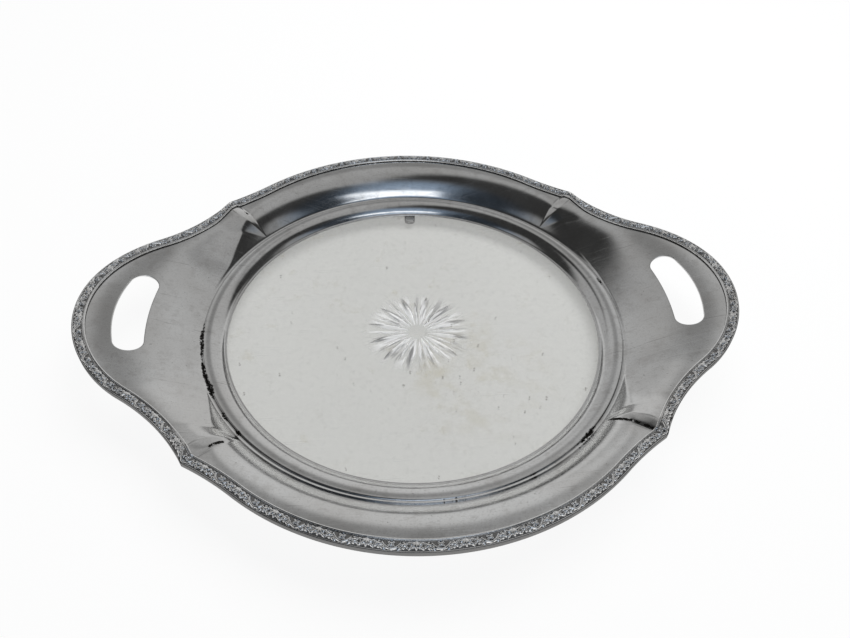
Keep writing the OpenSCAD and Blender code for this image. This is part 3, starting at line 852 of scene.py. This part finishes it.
def border_piece(name, ear, flip):
    across = np.concatenate([
        [0.0, 0.06, 0.2, 0.4, 0.6, 0.8],
        np.linspace(*FIELD, FIELD_ROWS),
        border_w - edge_bead_w / 2 * (1 + cos(np.arange(0, 181, 30))),
    ])
    section = [(d, None) for d in across]
    section += [(border_w, solder_gap), (apron_t, solder_gap)]
    section += [(apron_t, -apron_drop), (0.0, -apron_drop), (0.0, -apron_drop / 2)]
    length = np.linalg.norm(np.diff(rim_run(border_w / 2, ear), axis=0), axis=1).sum()
    half = int(round(length / COLUMN_LEN))
    share = np.linspace(-1, 1, 2 * half + 1)
    units = max(1, round(2 * length / UNIT))
    unit = 2 * length / units
    cols, deep = [], []
    for d, fixed in section:
        run = rim_run(d, ear)
        walk = np.concatenate([[0], np.cumsum(np.linalg.norm(np.diff(run, axis=0), axis=1))])
        at = np.abs(share) * walk[-1]
        x, y = np.interp(at, walk, run[:, 0]), np.interp(at, walk, run[:, 1])
        if ear:
            y = np.where(share < 0, y, -y)
        else:
            x = np.where(share < 0, -x, x)
        if fixed is None:
            height, hidden = border_profile(share * length, np.full_like(share, d), unit)
        else:
            height, hidden = np.full_like(share, fixed), np.zeros_like(share)
        cols.append(np.stack([x, y, sheet_z(x, y) + height], -1))
        deep.append(hidden)
    verts = np.stack(cols, 1).reshape(-1, 3) * flip
    index = np.arange(len(verts)).reshape(len(share), -1)
    faces = grid_faces(index, False) + [tuple(index[0]), tuple(index[-1][::-1])]
    obj = mesh_object(name, verts, faces, BORDER_SHARP)
    mask(obj, "recess", np.stack(deep, 1).reshape(-1))
    # Painted shade and reflection: the outer roll and the skirt hanging below it are darkened in place of the
    # dark they reflect
    apron_shade = [APRON_SHADE_LEVEL * (d < APRON_SHADE_EDGE or fixed is not None) for d, fixed in section]
    mask(obj, "apron", np.tile(apron_shade, len(share)))
    return obj


# Materials: each mask has its attribute, strength and colour
DIRT = [("dirt_and_shade", 1.0, grey(0.022, 0.1))]
# Painted shade round the tab's sides and the edge of its top
TAB_EDGE_SHADE = [("dirt_and_shade", 0.85, grey(0.12, 0.03))]
# Tarnish in the ornament's hollows, and painted shade on the strip's outer roll and the skirt below it
STRUCK_TARNISH_AND_SHADE = [("recess", 0.8, grey(0.15, 0.03)), ("apron", 0.9, grey(0.17, 0.02))]
sheet_mat = plate_material("aged_plate_sheet", tone=0.68, rough=0.13, masks=DIRT)
ring_mat = plate_material("aged_plate_ring", tone=0.68, rough=0.13, masks=DIRT)
base_mat = plate_material("aged_plate_foot", tone=0.58, rough=0.24)
# Painted light: the tab's near-white, hardly metallic colour stands in for the light its plated face reflects
tab_mat = plate_material("aged_plate_tab", tone=0.98, rough=0.45, masks=TAB_EDGE_SHADE, metal=0.1)
border_mat = plate_material("aged_plate_border", tone=0.86, rough=0.12, masks=STRUCK_TARNISH_AND_SHADE, wave=0.3)
glass_mat = glass_material("old_clear_glass")

dress(sheet_piece(), "plated_sheet", sheet_mat, "tray_body")
dress(bezel_piece(), "plated_ring", ring_mat, "bezel_ring")
dress(glass_piece(), "clear_glass", glass_mat, "glass_disc")
dress(base_piece(), "plated_base", base_mat, "base_ring")
dress(tab_piece(), "plated_base", tab_mat, "glass_tab")
dress(border_piece("struck_border_back", False, (1, 1, 1)), "plated_border", border_mat, "border_back")
dress(border_piece("struck_border_front", False, (1, -1, 1)), "plated_border", border_mat, "border_front")
dress(border_piece("struck_border_right", True, (1, 1, 1)), "plated_border", border_mat, "border_right")
dress(border_piece("struck_border_left", True, (-1, 1, 1)), "plated_border", border_mat, "border_left")

# Floor: white as the camera and the reflections see it, less so through the glass, where its shade shows
WHITENESS, GLASS_LOSS, FLOOR_HALF = 0.9, 0.4, 8.0
floor_mat, fs, floor_out, floor_at = new_material("pale_floor")
floor_tone = fs.mix(fs.noise(floor_at, scale=6.0, detail=3.0), grey(0.93), grey(0.95))
floor_bsdf = fs.node("ShaderNodeBsdfDiffuse", {"Color": floor_tone})
white = fs.node("ShaderNodeEmission", {"Color": (1.0, 1.0, 1.0, 1.0), "Strength": 1.0})
floor_path = fs.node("ShaderNodeLightPath").outputs
through_glass = floor_path["Is Transmission Ray"]
looked_at = fs.most(floor_path["Is Camera Ray"], floor_path["Is Glossy Ray"], through_glass)
looked_at = fs.less(fs.times(looked_at, WHITENESS), fs.times(through_glass, GLASS_LOSS))
paper_mix = fs.node("ShaderNodeMixShader", {0: looked_at, 1: floor_bsdf.outputs[0], 2: white.outputs[0]})
fs.tree.links.new(paper_mix.outputs[0], floor_out.inputs["Surface"])
floor_mesh = bpy.data.meshes.new("floor")
floor_corners = [(x * FLOOR_HALF, y * FLOOR_HALF, 0) for x, y in ((-1, -1), (1, -1), (1, 1), (-1, 1))]
floor_mesh.from_pydata(floor_corners, [], [(0, 1, 2, 3)])
floor = bpy.data.objects.new("floor", floor_mesh)
floor.data.materials.append(floor_mat)
bpy.context.scene.collection.objects.link(floor)

# Studio: a room set by direction alone. A pale back wall and ceiling open between a dark left and right,
# with paler walls low down and at the sides, and a cool haze and a bright window behind the camera.
BASE_LEVEL, WINDOW_LEVEL, HAZE_LEVEL, SHELF_SHADE = 0.04, 1.45, 0.50, 0.42
LOW_WALL_LEVEL, LEFT_WALL_LEVEL, SIDE_WALL_LEVEL = 0.62, 0.38, 0.28
WARM_WHITE, COOL_WHITE, WINDOW_WARMER = (1.0, 1.0, 0.99, 1.0), (0.60, 0.77, 1.0, 1.0), 0.85
world = bpy.data.worlds.new("studio")
bpy.context.scene.world = world
world.use_nodes = True
ws = Shader(world.node_tree)
world_out = ws.node("ShaderNodeOutputWorld")
way = ws.node("ShaderNodeTexCoord").outputs["Generated"]
wx, wy, wz = ws.node("ShaderNodeSeparateXYZ", {0: way}).outputs
front = ws.times(wy, -1.0)


def near(value, middle, inner, outer):
    """1 within inner of the middle, and 0 beyond outer."""
    return ws.remap(ws.math("ABSOLUTE", ws.less(value, middle)), inner, outer, 1.0, 0.0)


# Back wall and ceiling, with a shelf, a dim spot and dusk on them, and where they open
behind = ws.most(ws.less(wy, 0.36), 0.0)
swing = ws.add(wx, ws.times(wy, 0.2), ws.times(ws.math("MINIMUM", wy, 0.3), 0.25), ws.times(behind, 0.6))
left_open = ws.remap(swing, -0.04, 0.12)
right_open = ws.remap(ws.less(wx, ws.times(wy, 0.65)), 0.30, 0.44, 1.0, 0.0)
room = ws.add(ws.remap(wy, 0.6, 0.97, 0.35, 0.58), ws.remap(wy, 0.1, 0.35, 0.0, 0.04))
glow = ws.times(ws.remap(wx, 0.1, 0.3), ws.remap(wy, 0.7, 0.8, 0.06, 0.0), ws.remap(wy, 0.445, 0.50))
dim_spot = ws.times(
    ws.remap(wx, 0.15, 0.27, 0.0, 0.35), ws.remap(wy, 0.36, 0.42), ws.remap(wy, 0.46, 0.54, 1.0, 0.0)
)
dusk = ws.times(ws.remap(wx, -0.04, 0.06, 0.28, 0.0), ws.remap(wy, 0.74, 0.85))
shelf = ws.times(near(wx, 0.03, 0.05, 0.2), near(wy, 0.68, 0.06, 0.19))
dimmed = ws.less(1.0, ws.add(ws.times(shelf, SHELF_SHADE), dusk, dim_spot))
lit = ws.times(ws.add(room, glow), dimmed, left_open, right_open)

# Low wall all round, the far part of the left wall, and the front part of both side walls
low_wall = ws.remap(wz, 0.16, 0.40, LOW_WALL_LEVEL, 0.0)
left_wall = ws.times(ws.remap(wx, -0.46, -0.38, LEFT_WALL_LEVEL, 0.0), ws.remap(wy, 0.30, 0.45))
side_wall = ws.times(
    ws.remap(ws.math("ABSOLUTE", wx), 0.60, 0.72, 0.0, SIDE_WALL_LEVEL), ws.remap(wy, -0.12, 0.02, 1.0, 0.0)
)

# Haze and window at the front
haze = ws.times(ws.remap(front, 0.08, 0.48, 0.0, HAZE_LEVEL), near(wx, 0.03, 0.12, 0.42))
window = ws.times(
    near(wx, 0.10, 0.27, 0.34),
    ws.remap(front, 0.3, 0.4),
    ws.remap(wz, 0.80, 0.835, 1.0, 0.0),
    ws.remap(wz, 0.73, 0.77),
)
walls = ws.most(lit, left_wall, side_wall, low_wall)
level = ws.add(walls, haze, ws.times(window, WINDOW_LEVEL), BASE_LEVEL)
cool = ws.times(
    ws.remap(front, 0.05, 0.35), ws.less(1.0, ws.times(window, WINDOW_WARMER)), ws.remap(wz, 0.5, 0.72)
)
studio_tint = ws.mix(cool, WARM_WHITE, COOL_WHITE)
studio = ws.node("ShaderNodeBackground", {"Color": studio_tint, "Strength": level})
ws.tree.links.new(studio.outputs[0], world_out.inputs["Surface"])


def area_lamp(name, place, aim, size, power, tint):
    data = bpy.data.lights.new(name, "AREA")
    data.shape = "RECTANGLE"
    data.size, data.size_y = size
    data.energy = power
    data.color = tint
    lamp = bpy.data.objects.new(name, data)
    lamp.location = place
    lamp.rotation_euler = (Vector(aim) - Vector(place)).to_track_quat("-Z", "Y").to_euler()
    bpy.context.scene.collection.objects.link(lamp)
    return lamp


soft_box = area_lamp(
    "soft_box", place=(0.35, 0.45, 1.2), aim=(0, 0, 0), size=(1.4, 1.0), power=16.4, tint=(1.0, 1.0, 1.0)
)
soft_box.visible_glossy = False
soft_box.visible_transmission = False

# Camera at the photograph's place
LENS, SENSOR, NEAREST = 29.36, 36.0, 0.01
CAMERA_AT = (-0.02653, -0.30527, 0.31604)
CAMERA_AHEAD, CAMERA_RIGHT = (0.07741, 0.70845, -0.70150), (0.99605, -0.08568, 0.02339)
camera_data = bpy.data.cameras.new("camera")
camera_data.lens = LENS
camera_data.sensor_width = SENSOR
camera_data.clip_start = NEAREST
camera = bpy.data.objects.new("camera", camera_data)
forward = Vector(CAMERA_AHEAD).normalized()
right = Vector(CAMERA_RIGHT).normalized()
up = right.cross(forward)
turned = Matrix((right, up, -forward)).transposed().to_4x4()
camera.matrix_world = Matrix.Translation(CAMERA_AT) @ turned
bpy.context.scene.collection.objects.link(camera)
bpy.context.scene.camera = camera
bpy.context.scene.view_settings.view_transform = "Standard"
